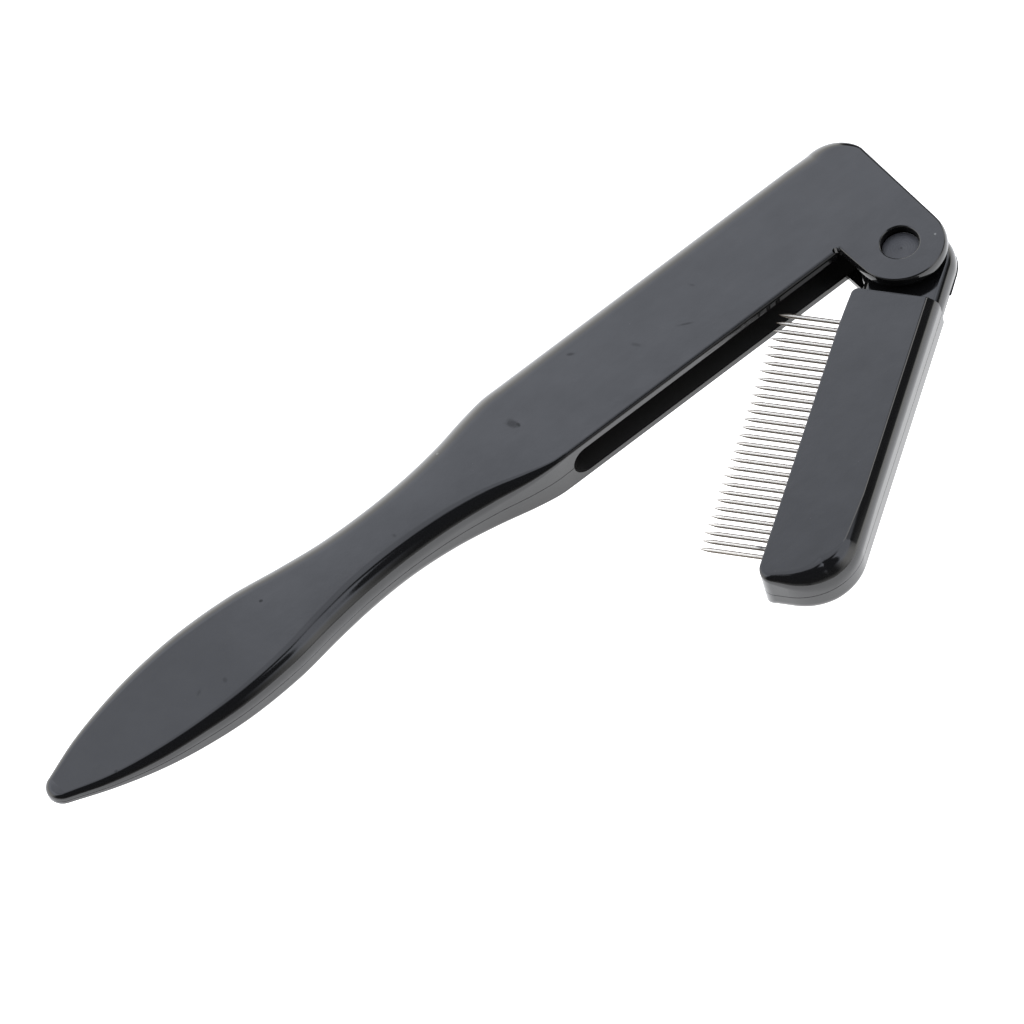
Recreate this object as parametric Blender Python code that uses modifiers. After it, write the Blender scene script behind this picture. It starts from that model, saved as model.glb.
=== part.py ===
# Folding eyelash comb: a flat moulded handle with a leaf shaped tail and a slotted
# case, and a comb arm with fine steel pins that turns on a pivot at the head.
#
# Frame: the origin is on the pivot axis, in the plane that the comb lies on.
# +X runs along the handle to its head, -X to its pointed tail. +Y is the closed
# back of the case, -Y the slotted side that the arm folds against. +Z is up.
# The arm is modelled folded, along the slot, and an empty on the pivot turns it
# to the half open angle at which it rests.

from math import acos, asin, cos, degrees, pi, radians, sin

import bmesh
import bpy
from mathutils import Vector

MM = 0.001
WELD = 0.0005 * MM

# Handle: case, neck and tail
THICKNESS = 6.6 * MM
MID_PLANE = THICKNESS / 2
SLOT_SIDE_Y = 4.5 * MM
BACK_Y = 20.65 * MM
CASE_START_X = -50.0 * MM
CASE_EDGE_ROUND = 0.5 * MM
CASE_FOOT_ROUND = 0.35 * MM
BACK_ROUND = 3.2 * MM
TAIL_TIP_X = -126.9 * MM
TAIL_TIP_RADIUS = 2.28 * MM

# Handle: head and lobe
HEAD_END_X = 6.25 * MM
HEAD_EDGE_ROUND = 0.5 * MM
HEAD_CORNER_RADIUS = 5.5 * MM
HEAD_CORNER_INSET = 3.5 * MM
HEAD_CORNER_RISE = 3.2 * MM
HEAD_CORNER_FOOT_ROUND = 2.9 * MM
BACK_ROUND_START_X = -3.0 * MM
LOBE_RADIUS = 6.0 * MM
LOBE_TOP_INSET = 0.32 * MM
LOBE_END_INSET = 0.48 * MM
LOBE_TOP_RISE = 1.1 * MM
LOBE_FOOT_ROUND = 0.35 * MM

# Slot and pivot pocket
SLOT_FLOOR = 1.46 * MM
SLOT_ROOF = 5.44 * MM
SLOT_END_X = -49.75 * MM
SLOT_HEAD_X = -4.0 * MM
SLOT_BOTTOM_Y = 14.5 * MM
SLOT_MOUTH_Y = -12.0 * MM
POCKET_RADIUS = 10.2 * MM
POCKET_FLOOR = 1.38 * MM
POCKET_ROOF = 5.5 * MM
RELIEF_RADIUS = 0.42 * MM
RELIEF_X = -6.5 * MM
RELIEF_Y = 4.85 * MM
RELIEF_FLOOR = MID_PLANE

# Heights of the cutters that go right through
CUT_BELOW = -THICKNESS
CUT_ABOVE = 2 * THICKNESS

# Pivot
PIVOT_RADIUS = 2.42 * MM
PIVOT_TOP = 5.4 * MM
PIVOT_FOOT = 0.95 * MM
PIVOT_DIMPLE_RADIUS = 0.3 * MM
PIVOT_DIMPLE_DEPTH = 0.1 * MM
PIVOT_GAP = 0.05 * MM
HUB_BORE_GAP = 0.1 * MM

# Comb arm, folded
REST_ANGLE = radians(35.5)
BAR_HEAD_X = -7.65 * MM
BAR_END_X = -52.4 * MM
BAR_PIN_SIDE_Y = 4.3 * MM
BAR_HEAD_PIN_SIDE_Y = 4.05 * MM
BAR_PIN_SIDE_EASE_X = -16.0 * MM
BAR_OUTER_Y = -7.1 * MM
BAR_PIN_SIDE_ROUND = 0.15 * MM
BAR_HEAD_CORNER_RADIUS = 0.9 * MM
BAR_OUTER_INSET = 2.85 * MM
BAR_OUTER_RISE = 3.2 * MM
BAR_OUTER_FOOT_ROUND = 1.6 * MM
BAR_INNER_CORNER_RADIUS = 1.9 * MM
BAR_INNER_CORNER_ROUND = 1.0 * MM
BAR_OUTER_CORNER_RADIUS = 7.6 * MM
BAR_OUTER_CORNER_ROUND = 1.6 * MM
BAR_END_FOOT_ROUND = 2.15 * MM
BAR_FOOT_CORNER_RADIUS = 1.5 * MM
TONGUE_FLOOR = 1.82 * MM
TONGUE_ROOF = 4.35 * MM
TONGUE_EDGE_ROUND = 0.75 * MM
TONGUE_FOOT_ROUND = 0.2 * MM
TONGUE_PIN_SIDE_Y = 3.95 * MM
TONGUE_ROOT_X = -9.3 * MM
TONGUE_ROOT_Y = -6.95 * MM
HUB_RADIUS = 6.05 * MM
HUB_CENTRE = Vector((-0.9, -0.85)) * MM

# Pins of the comb
PIN_COUNT = 30
PIN_FIRST_X = -11.0 * MM
PIN_PITCH = 1.247 * MM
PIN_RADIUS = 0.27 * MM
PIN_TIP_Y = 13.65 * MM
PIN_SEAT_DEPTH = 1.7 * MM
PIN_TAPER = 1.9 * MM
SOCKET_GAP = 0.04 * MM
SOCKET_OVERSHOOT = 0.5 * MM

# How finely round shapes are divided
EDGE_STEPS = 6
TAIL_STEPS = 32
TIP_STEPS = 4
LOBE_STEPS = 22
CORNER_STEPS = 8
PIN_SIDE_STEPS = 6
SLOT_END_STEPS = 12
PIVOT_SIDES = 40
POCKET_SIDES = 56
RELIEF_SIDES = 20
PIN_SIDES = 10
PIN_TAPER_STEPS = 3
SLOPE_SAMPLE = 0.1 * MM

# Edges that are sharper than this are shaded sharp
PLASTIC_SHARP_ANGLE = radians(30)
PIVOT_SHARP_ANGLE = radians(15)
PIN_SHARP_ANGLE = radians(50)

# Colours and roughness
HANDLE_COLOUR = (0.016, 0.016, 0.017)
HANDLE_ROUGHNESS = 0.22
PIVOT_COLOUR = (0.014, 0.014, 0.015)
PIVOT_ROUGHNESS = 0.3
ARM_COLOUR = (0.014, 0.014, 0.015)
ARM_ROUGHNESS = 0.25
STEEL_COLOUR = (0.62, 0.61, 0.59)
STEEL_ROUGHNESS = 0.3

# Sizes along the tail and neck in millimetres, from the round tip to the case. The
# thickness shrinks evenly above and below the middle plane. The two rounds are those
# of the upper and lower edge on the slotted side, where the case's crisp edge fades
# into a full round.
TAIL_COLUMNS = ("x", "middle_y", "half_width", "thickness", "top_round", "bottom_round")
TAIL_ROWS = (
    (-125.55, 12.37, 2.08, 1.75, 0.80, 0.50),
    (-120.0, 12.36, 4.40, 2.30, 1.10, 0.75),
    (-114.0, 12.34, 6.10, 3.15, 1.50, 0.85),
    (-108.0, 12.435, 7.135, 3.90, 1.72, 0.80),
    (-101.0, 12.46, 7.68, 4.60, 2.08, 1.05),
    (-93.0, 12.515, 7.305, 5.15, 2.30, 1.30),
    (-86.0, 12.50, 6.20, 5.50, 2.50, 1.60),
    (-80.0, 12.455, 5.465, 5.80, 2.67, 1.90),
    (-73.5, 12.47, 5.25, 6.05, 2.60, 2.10),
    (-67.0, 12.48, 5.56, 6.25, 2.40, 1.75),
    (-61.0, 12.455, 6.395, 6.45, 2.05, 1.22),
    (-56.0, 12.47, 7.49, 6.55, 1.38, 0.85),
    (-52.5, 12.54, 8.04, 6.60, 0.75, 0.50),
    (-50.0, 12.575, 8.075, 6.60, 0.50, 0.35),
)


# Scene and material helpers


def remove_everything():
    for thing in list(bpy.data.objects):
        bpy.data.objects.remove(thing, do_unlink=True)


def new_collection(name):
    collection = bpy.data.collections.new(name)
    bpy.context.scene.collection.children.link(collection)
    return collection


def new_material(name, colour, roughness, metallic=0.0):
    material = bpy.data.materials.new(name)
    material.use_nodes = True
    shader = material.node_tree.nodes["Principled BSDF"]
    shader.inputs["Base Color"].default_value = (*colour, 1.0)
    shader.inputs["Roughness"].default_value = roughness
    shader.inputs["Metallic"].default_value = metallic
    return material


def place(name, mesh, collection, parent=None):
    thing = bpy.data.objects.new(name, mesh)
    collection.objects.link(thing)
    thing.parent = parent
    return thing


def place_cutter(name, mesh, collection, parent=None):
    cutter = place(name, mesh, collection, parent)
    cutter.hide_render = True
    cutter.display_type = "WIRE"
    return cutter


def finish_part(thing, material, sharp_angle):
    thing.data.materials.append(material)
    thing.data.shade_smooth()
    thing.data.set_sharp_from_angle(angle=sharp_angle)


def add_boolean(thing, cutter, operation="DIFFERENCE"):
    modifier = thing.modifiers.new(cutter.name, "BOOLEAN")
    modifier.operation = operation
    modifier.solver = "EXACT"
    modifier.object = cutter


# Meshes from Blender's tools


def mesh_from_bmesh(name, bm):
    bmesh.ops.recalc_face_normals(bm, faces=bm.faces)
    mesh = bpy.data.meshes.new(name)
    bm.to_mesh(mesh)
    bm.free()
    return mesh


def solid_of(helper):
    """A helper object's evaluated shape as a welded mesh. The helper is removed."""
    graph = bpy.context.evaluated_depsgraph_get()
    mesh = bpy.data.meshes.new_from_object(helper.evaluated_get(graph))
    mesh.name = helper.name
    bpy.data.objects.remove(helper, do_unlink=True)
    bm = bmesh.new()
    bm.from_mesh(mesh)
    bmesh.ops.remove_doubles(bm, verts=bm.verts, dist=WELD)
    bm.to_mesh(mesh)
    bm.free()
    return mesh


def helper_object(name, data):
    helper = bpy.data.objects.new(name, data)
    bpy.context.scene.collection.objects.link(helper)
    return helper


def plate_mesh(name, outline, thickness):
    """A flat plate with the outline in its own XY plane, centred on that plane."""
    curve = bpy.data.curves.new(name, "CURVE")
    curve.dimensions = "2D"
    curve.fill_mode = "BOTH"
    curve.extrude = thickness / 2
    spline = curve.splines.new("POLY")
    spline.points.add(len(outline) - 1)
    for point, corner in zip(spline.points, outline):
        point.co = (corner.x, corner.y, 0, 1)
    spline.use_cyclic_u = True
    return solid_of(helper_object(name, curve))


def turned_mesh(name, profile, sides):
    """A turned solid from a profile of (radius, height) that runs down its outer side."""
    mesh = bpy.data.meshes.new(name)
    corners = [(radius, 0, height) for radius, height in profile]
    mesh.from_pydata(corners, [(i, i + 1) for i in range(len(corners) - 1)], [])
    helper = helper_object(name, mesh)
    turn = helper.modifiers.new("turn", "SCREW")
    turn.steps = sides
    turn.render_steps = sides
    turn.use_merge_vertices = True
    turn.merge_threshold = WELD
    return solid_of(helper)


def cylinder_mesh(name, radius, low, high, sides):
    bm = bmesh.new()
    bmesh.ops.create_cone(
        bm, cap_ends=True, segments=sides, radius1=radius, radius2=radius, depth=high - low
    )
    bmesh.ops.translate(bm, verts=bm.verts, vec=(0, 0, (low + high) / 2))
    return mesh_from_bmesh(name, bm)


# Lofted plates: a loft between upright edge profiles that change along the outline


def rim_point(at, top_inset, bottom_inset, top_rise, bottom_rise, thickness=THICKNESS):
    """One place on a plate's outline. The insets lead from it to the flat faces' outlines.
    The rises are the heights of the rounded edges."""
    return {
        "at": at,
        "top_inset": top_inset,
        "bottom_inset": bottom_inset,
        "top_rise": top_rise,
        "bottom_rise": bottom_rise,
        "thickness": thickness,
    }


def edge_rim_point(at, inward, edge, thickness=THICKNESS):
    """A rim point with straight insets. The edge is the upper edge's inset and rise, and
    the lower edge's round."""
    top_inset, top_rise, bottom_round = edge
    insets = (inward * top_inset, inward * bottom_round)
    return rim_point(at, *insets, top_rise, bottom_round, thickness)


def rim_column(bm, point):
    """The vertices of the plate's edge profile at one rim point, from the bottom up."""
    bottom = MID_PLANE - point["thickness"] / 2
    top = MID_PLANE + point["thickness"] / 2
    column = []
    for step in range(EDGE_STEPS + 1):
        angle = pi / 2 * step / EDGE_STEPS
        spot = point["at"] + point["bottom_inset"] * (1 - sin(angle))
        height = bottom + point["bottom_rise"] * (1 - cos(angle))
        column.append(bm.verts.new((spot.x, spot.y, height)))
    for step in range(EDGE_STEPS + 1):
        angle = pi / 2 * step / EDGE_STEPS
        spot = point["at"] + point["top_inset"] * (1 - cos(angle))
        height = top - point["top_rise"] * (1 - sin(angle))
        column.append(bm.verts.new((spot.x, spot.y, height)))
    return column


def skin_rim(bm, columns):
    """Faces from each column to the next, all the way round the plate."""
    for index, column in enumerate(columns):
        following = columns[(index + 1) % len(columns)]
        for low in range(len(column) - 1):
            bm.faces.new((column[low], following[low], following[low + 1]))
            bm.faces.new((column[low], following[low + 1], column[low + 1]))


def cap_strip(bm, near, far):
    """Top and bottom faces between two facing runs of columns that start at one column."""
    for level in (0, -1):
        bm.faces.new((near[0][level], near[1][level], far[1][level]))
        for index in range(1, len(near) - 1):
            bm.faces.new((near[index][level], near[index + 1][level], far[index + 1][level]))
            bm.faces.new((near[index][level], far[index + 1][level], far[index][level]))


def cap_flat(bm, columns):
    """One flat top face and one flat bottom face inside a run of columns."""
    for level in (0, -1):
        bm.faces.new([column[level] for column in columns])


def arc(centre, radius, start, end, steps):
    """Points on an arc with their outward directions. Angles are in degrees."""
    found = []
    for step in range(steps + 1):
        angle = radians(start + (end - start) * step / steps)
        outward = Vector((cos(angle), sin(angle)))
        found.append((centre + outward * radius, outward))
    return found


def rim_arc(centre, radius, start, end, steps, first_edge, last_edge):
    """Rim points round a corner whose edge changes evenly."""
    found = []
    for index, (spot, outward) in enumerate(arc(centre, radius, start, end, steps)):
        share = index / steps
        edge = [first + (last - first) * share for first, last in zip(first_edge, last_edge)]
        found.append(edge_rim_point(spot, -outward, edge))
    return found


# Handle


def tail_at(x):
    """The tail's sizes at x, on a smooth curve through the table's rows."""
    rows = [Vector([size * MM for size in row]) for row in TAIL_ROWS]
    last = len(rows) - 1
    index = max(i for i in range(last) if i == 0 or rows[i][0] <= x)

    def slope(at):
        low, high = rows[max(at - 1, 0)], rows[min(at + 1, last)]
        return (high - low) / (high[0] - low[0])

    span = rows[index + 1][0] - rows[index][0]
    t = (x - rows[index][0]) / span
    value = rows[index] * (2 * t**3 - 3 * t**2 + 1) + rows[index + 1] * (3 * t**2 - 2 * t**3)
    value += slope(index) * (span * (t**3 - 2 * t**2 + t))
    value += slope(index + 1) * (span * (t**3 - t**2))
    return dict(zip(TAIL_COLUMNS, value))


def tail_points(side):
    """Rim points from the tail's tip to the case. Side -1 is slotted, +1 is the back."""
    start_x = TAIL_ROWS[0][0] * MM
    tip = tail_at(start_x)
    tip_centre = Vector((TAIL_TIP_X + TAIL_TIP_RADIUS, tip["middle_y"]))
    tangent = 180 - side * (180 - degrees(acos((start_x - tip_centre.x) / TAIL_TIP_RADIUS)))
    found = []
    tip_edge = (tip["top_round"], tip["top_round"], tip["bottom_round"])
    for spot, outward in arc(tip_centre, TAIL_TIP_RADIUS, 180, tangent, TIP_STEPS)[:-1]:
        found.append(edge_rim_point(spot, -outward, tip_edge, tip["thickness"]))
    for step in range(TAIL_STEPS + 1):
        x = start_x + (CASE_START_X - start_x) * step / TAIL_STEPS
        row = tail_at(x)
        ahead, behind = tail_at(x + SLOPE_SAMPLE), tail_at(x - SLOPE_SAMPLE)
        steepness = (ahead["half_width"] - behind["half_width"]) / (2 * SLOPE_SAMPLE)
        inward = Vector((steepness, -side)).normalized()
        spot = Vector((x, row["middle_y"] + side * row["half_width"]))
        edge = (row["top_round"], row["top_round"], row["bottom_round"])
        if side > 0:
            edge = (BACK_ROUND * row["thickness"] / THICKNESS,) * 3
        found.append(edge_rim_point(spot, inward, edge, row["thickness"]))
    return found


def head_points():
    """Rim points from the notch beside the lobe, round the lobe and head, to the back."""
    notch = Vector((-LOBE_RADIUS, SLOT_SIDE_Y))
    top_inset = Vector((LOBE_TOP_INSET, CASE_EDGE_ROUND))
    foot_inset = Vector((LOBE_FOOT_ROUND, CASE_FOOT_ROUND))
    found = [rim_point(notch, top_inset, foot_inset, CASE_EDGE_ROUND, CASE_FOOT_ROUND)]
    for spot, outward in arc(Vector((0, 0)), LOBE_RADIUS, 180, 360, LOBE_STEPS):
        inset = LOBE_TOP_INSET + (LOBE_END_INSET - LOBE_TOP_INSET) * max(0, outward.x)
        found.append(edge_rim_point(spot, -outward, (inset, LOBE_TOP_RISE, LOBE_FOOT_ROUND)))
    corner = Vector((HEAD_END_X - HEAD_CORNER_RADIUS, BACK_Y - HEAD_CORNER_RADIUS))
    end_edge = (HEAD_EDGE_ROUND,) * 3
    corner_edge = (HEAD_CORNER_INSET, HEAD_CORNER_RISE, HEAD_CORNER_FOOT_ROUND)
    found += rim_arc(corner, HEAD_CORNER_RADIUS, 0, 90, CORNER_STEPS, end_edge, corner_edge)
    full_round = Vector((BACK_ROUND_START_X, BACK_Y))
    found.append(edge_rim_point(full_round, Vector((0, -1)), (BACK_ROUND,) * 3))
    return found


def handle_mesh():
    bm = bmesh.new()
    near = [rim_column(bm, point) for point in tail_points(-1)]
    far = near[:1] + [rim_column(bm, point) for point in tail_points(1)[1:]]
    head = [rim_column(bm, point) for point in head_points()]
    skin_rim(bm, near + head + far[:0:-1])
    cap_strip(bm, near, far)
    cap_flat(bm, near[-1:] + head + far[-1:])
    return mesh_from_bmesh("handle", bm)


def slot_mesh():
    """The long slot's cutter: its outline is drawn in X and Z, and its depth runs in Y."""
    half_height = (SLOT_ROOF - SLOT_FLOOR) / 2
    end_centre = Vector((SLOT_END_X + half_height, SLOT_FLOOR + half_height))
    outline = [Vector((SLOT_HEAD_X, SLOT_ROOF))]
    outline += [spot for spot, _ in arc(end_centre, half_height, 90, 270, SLOT_END_STEPS)]
    outline.append(Vector((SLOT_HEAD_X, SLOT_FLOOR)))
    return plate_mesh("slot_cutter", outline, SLOT_BOTTOM_Y - SLOT_MOUTH_Y)


def build_handle(parts, cutters, material):
    handle = place("handle", handle_mesh(), parts)
    finish_part(handle, material, PLASTIC_SHARP_ANGLE)
    slot = place_cutter("slot_cutter", slot_mesh(), cutters)
    slot.rotation_euler.x = radians(90)
    slot.location.y = (SLOT_BOTTOM_Y + SLOT_MOUTH_Y) / 2
    pocket_mesh = cylinder_mesh("pocket_cutter", POCKET_RADIUS, POCKET_FLOOR, POCKET_ROOF, POCKET_SIDES)
    pocket = place_cutter("pocket_cutter", pocket_mesh, cutters)
    bore_mesh = cylinder_mesh(
        "pivot_bore_cutter", PIVOT_RADIUS + PIVOT_GAP, PIVOT_FOOT - PIVOT_GAP, CUT_ABOVE, PIVOT_SIDES
    )
    bore = place_cutter("pivot_bore_cutter", bore_mesh, cutters)
    relief_mesh = cylinder_mesh("relief_cutter", RELIEF_RADIUS, RELIEF_FLOOR, CUT_ABOVE, RELIEF_SIDES)
    relief = place_cutter("relief_cutter", relief_mesh, cutters)
    relief.location = (RELIEF_X, RELIEF_Y, 0)
    for cutter in (slot, pocket, bore, relief):
        add_boolean(handle, cutter)


def build_pivot_pin(parts, material):
    profile = [
        (0, PIVOT_TOP - PIVOT_DIMPLE_DEPTH),
        (PIVOT_DIMPLE_RADIUS, PIVOT_TOP),
        (PIVOT_RADIUS, PIVOT_TOP),
        (PIVOT_RADIUS, PIVOT_FOOT),
        (0, PIVOT_FOOT),
    ]
    pin = place("pivot_pin", turned_mesh("pivot_pin", profile, PIVOT_SIDES), parts)
    finish_part(pin, material, PIVOT_SHARP_ANGLE)


# Comb arm


def bar_head_corner():
    """Rim points round the soft corner between the hinge end and the pin side, then along
    the pin side to where it runs straight."""
    corner = Vector((BAR_HEAD_X, BAR_HEAD_PIN_SIDE_Y))
    centre = corner - Vector((1, 1)) * BAR_HEAD_CORNER_RADIUS
    crisp = (0, BAR_PIN_SIDE_ROUND, BAR_PIN_SIDE_ROUND)
    pin_side = (BAR_PIN_SIDE_ROUND,) * 3
    found = rim_arc(centre, BAR_HEAD_CORNER_RADIUS, 0, 90, CORNER_STEPS, crisp, pin_side)
    for step in range(1, PIN_SIDE_STEPS + 1):
        share = step / PIN_SIDE_STEPS
        x = centre.x + (BAR_PIN_SIDE_EASE_X - centre.x) * share
        y = BAR_PIN_SIDE_Y - (BAR_PIN_SIDE_Y - BAR_HEAD_PIN_SIDE_Y) * (1 - share) ** 2
        found.append(edge_rim_point(Vector((x, y)), Vector((0, -1)), pin_side))
    return found


def bar_inner_corner():
    """Rim points where the pin side meets the free end. The underside is rounded off
    much more than the top, so its flat outline turns the corner further in."""
    centre = Vector((BAR_END_X + BAR_INNER_CORNER_RADIUS, BAR_PIN_SIDE_Y - BAR_INNER_CORNER_RADIUS))
    foot_centre = Vector((BAR_END_X + BAR_END_FOOT_ROUND, BAR_PIN_SIDE_Y - BAR_PIN_SIDE_ROUND))
    foot_centre += Vector((1, -1)) * BAR_FOOT_CORNER_RADIUS
    outline = arc(centre, BAR_INNER_CORNER_RADIUS, 90, 180, CORNER_STEPS)
    foot_outline = arc(foot_centre, BAR_FOOT_CORNER_RADIUS, 90, 180, CORNER_STEPS)
    found = []
    for index, ((spot, outward), (foot_spot, _)) in enumerate(zip(outline, foot_outline)):
        share = index / CORNER_STEPS
        top_round = BAR_PIN_SIDE_ROUND + (BAR_INNER_CORNER_ROUND - BAR_PIN_SIDE_ROUND) * share
        foot_rise = BAR_PIN_SIDE_ROUND + (BAR_END_FOOT_ROUND - BAR_PIN_SIDE_ROUND) * share
        found.append(rim_point(spot, -outward * top_round, foot_spot - spot, top_round, foot_rise))
    return found


def bar_mesh():
    """The bar, with a flat face at its hinge end and a soft corner at its free end."""
    corner_start = (BAR_OUTER_CORNER_ROUND, BAR_OUTER_CORNER_ROUND, BAR_END_FOOT_ROUND)
    outer_side = (BAR_OUTER_INSET, BAR_OUTER_RISE, BAR_OUTER_FOOT_ROUND)
    outer = Vector((BAR_END_X + BAR_OUTER_CORNER_RADIUS, BAR_OUTER_Y + BAR_OUTER_CORNER_RADIUS))
    points = bar_head_corner()
    points += bar_inner_corner()
    points += rim_arc(
        outer, BAR_OUTER_CORNER_RADIUS, 180, 270, 2 * CORNER_STEPS, corner_start, outer_side
    )
    points.append(edge_rim_point(Vector((BAR_HEAD_X, BAR_OUTER_Y)), Vector((0, 1)), outer_side))
    bm = bmesh.new()
    columns = [rim_column(bm, point) for point in points]
    skin_rim(bm, columns)
    cap_flat(bm, columns)
    return mesh_from_bmesh("comb_arm", bm)


def tongue_mesh():
    """The thin hub and tongue that turns between the case's two lobes."""
    edge = (TONGUE_EDGE_ROUND, TONGUE_EDGE_ROUND, TONGUE_FOOT_ROUND)
    thickness = TONGUE_ROOF - TONGUE_FLOOR
    pin_side = Vector((0, 1))
    last = 180 - degrees(asin((TONGUE_PIN_SIDE_Y - HUB_CENTRE.y) / HUB_RADIUS))
    hub = arc(HUB_CENTRE, HUB_RADIUS, -90, last, LOBE_STEPS)
    points = [edge_rim_point(Vector((TONGUE_ROOT_X, TONGUE_ROOT_Y)), pin_side, edge, thickness)]
    points += [edge_rim_point(spot, -outward, edge, thickness) for spot, outward in hub[:-1]]
    bend, outward = hub[-1]
    inward = -(outward + pin_side) / (1 + outward.dot(pin_side))
    points.append(edge_rim_point(bend, inward, edge, thickness))
    pin_side_root = Vector((TONGUE_ROOT_X, TONGUE_PIN_SIDE_Y))
    points.append(edge_rim_point(pin_side_root, -pin_side, edge, thickness))
    bm = bmesh.new()
    columns = [rim_column(bm, point) for point in points]
    skin_rim(bm, columns)
    cap_flat(bm, columns)
    return mesh_from_bmesh("tongue", bm)


def pin_x(index):
    return PIN_FIRST_X - index * PIN_PITCH


def pin_mesh():
    length = PIN_TIP_Y - BAR_PIN_SIDE_Y + PIN_SEAT_DEPTH
    profile = []
    for step in range(PIN_TAPER_STEPS + 1):
        share = step / PIN_TAPER_STEPS
        profile.append((PIN_RADIUS * sin(pi / 2 * share), length - PIN_TAPER * share))
    profile += [(PIN_RADIUS, 0), (0, 0)]
    return turned_mesh("comb_pin", profile, PIN_SIDES)


def socket_mesh():
    """All the pin sockets as one cutter, drawn in the arm's own frame."""
    single = cylinder_mesh(
        "socket", PIN_RADIUS + SOCKET_GAP, -SOCKET_GAP, PIN_SEAT_DEPTH + SOCKET_OVERSHOOT, PIN_SIDES
    )
    bm = bmesh.new()
    for index in range(PIN_COUNT):
        known = len(bm.verts)
        bm.from_mesh(single)
        bm.verts.ensure_lookup_table()
        bmesh.ops.translate(bm, verts=bm.verts[known:], vec=(pin_x(index), 0, 0))
    return mesh_from_bmesh("socket_cutter", bm)


def seat_in_bar(thing):
    """Turns a piece drawn along Z to point out of the bar's pin side, from its seat."""
    thing.rotation_euler.x = radians(-90)
    thing.location.y = BAR_PIN_SIDE_Y - PIN_SEAT_DEPTH
    thing.location.z = MID_PLANE


def build_arm(parts, cutters, pivot, material):
    arm = place("comb_arm", bar_mesh(), parts, pivot)
    finish_part(arm, material, PLASTIC_SHARP_ANGLE)
    tongue = place_cutter("tongue", tongue_mesh(), cutters, pivot)
    tongue.location.z = (TONGUE_FLOOR + TONGUE_ROOF) / 2 - MID_PLANE
    bore_radius = PIVOT_RADIUS + HUB_BORE_GAP
    bore_mesh = cylinder_mesh("hub_bore_cutter", bore_radius, CUT_BELOW, CUT_ABOVE, PIVOT_SIDES)
    bore = place_cutter("hub_bore_cutter", bore_mesh, cutters, pivot)
    sockets = place_cutter("socket_cutter", socket_mesh(), cutters, pivot)
    seat_in_bar(sockets)
    add_boolean(arm, sockets)
    add_boolean(arm, tongue, "UNION")
    add_boolean(arm, bore)


def build_pins(parts, pivot, material):
    mesh = pin_mesh()
    mesh.materials.append(material)
    mesh.shade_smooth()
    mesh.set_sharp_from_angle(angle=PIN_SHARP_ANGLE)
    for index in range(PIN_COUNT):
        pin = place(f"comb_pin_{index + 1:02d}", mesh, parts, pivot)
        seat_in_bar(pin)
        pin.location.x = pin_x(index)


def build():
    remove_everything()
    parts = new_collection("eyelash_comb")
    cutters = new_collection("cutters")
    build_handle(parts, cutters, new_material("handle_plastic", HANDLE_COLOUR, HANDLE_ROUGHNESS))
    build_pivot_pin(parts, new_material("pivot_plastic", PIVOT_COLOUR, PIVOT_ROUGHNESS))
    pivot = bpy.data.objects.new("comb_pivot", None)
    parts.objects.link(pivot)
    pivot.rotation_euler.z = REST_ANGLE
    build_arm(parts, cutters, pivot, new_material("arm_plastic", ARM_COLOUR, ARM_ROUGHNESS))
    build_pins(parts, pivot, new_material("pin_steel", STEEL_COLOUR, STEEL_ROUGHNESS, metallic=1.0))
    bpy.context.view_layer.update()


build()
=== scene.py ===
# Folding eyelash comb: the finished surfaces, the light and the camera.
#
# Frame: the origin is on the pivot axis, in the plane that the comb lies on. +X runs
# along the handle to its head, +Y is the closed back of the case and +Z is up. The
# arm is drawn folded, along the slot, and turned on the pivot to its rest angle.

from math import acos, asin, cos, degrees, pi, radians, sin
from random import Random

import bmesh
import bpy
from mathutils import Matrix, Vector


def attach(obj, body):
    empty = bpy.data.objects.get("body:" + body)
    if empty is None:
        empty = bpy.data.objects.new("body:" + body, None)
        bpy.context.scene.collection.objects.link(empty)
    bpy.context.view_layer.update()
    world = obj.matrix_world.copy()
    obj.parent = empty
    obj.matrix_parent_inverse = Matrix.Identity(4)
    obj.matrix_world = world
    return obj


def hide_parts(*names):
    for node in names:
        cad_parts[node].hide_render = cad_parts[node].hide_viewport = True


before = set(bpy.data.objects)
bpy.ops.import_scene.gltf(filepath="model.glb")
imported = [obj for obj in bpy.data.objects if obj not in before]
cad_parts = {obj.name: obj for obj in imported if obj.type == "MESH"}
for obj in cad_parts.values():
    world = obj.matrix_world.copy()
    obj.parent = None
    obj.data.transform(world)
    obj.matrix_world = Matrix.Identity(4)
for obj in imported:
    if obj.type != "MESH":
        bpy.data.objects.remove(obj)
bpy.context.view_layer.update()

MM = 0.001
WELD = 0.0005 * MM

# Handle: case, neck and tail
THICKNESS = 6.6 * MM
MID_PLANE = THICKNESS / 2
SLOT_SIDE_Y = 4.5 * MM
BACK_Y = 20.65 * MM
CASE_START_X = -50.0 * MM
CASE_EDGE_ROUND = 0.5 * MM
CASE_FOOT_ROUND = 0.35 * MM
BACK_ROUND = 3.2 * MM
TAIL_TIP_X = -126.9 * MM
TAIL_TIP_RADIUS = 2.28 * MM

# Handle: head and lobe
HEAD_END_X = 6.25 * MM
HEAD_EDGE_ROUND = 0.5 * MM
HEAD_CORNER_RADIUS = 5.5 * MM
HEAD_CORNER_INSET = 3.5 * MM
HEAD_CORNER_RISE = 3.2 * MM
HEAD_CORNER_FOOT_ROUND = 2.9 * MM
BACK_ROUND_START_X = -3.0 * MM
LOBE_RADIUS = 6.0 * MM
LOBE_TOP_INSET = 0.32 * MM
LOBE_END_INSET = 0.48 * MM
LOBE_TOP_RISE = 1.1 * MM
LOBE_FOOT_ROUND = 0.35 * MM

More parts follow.
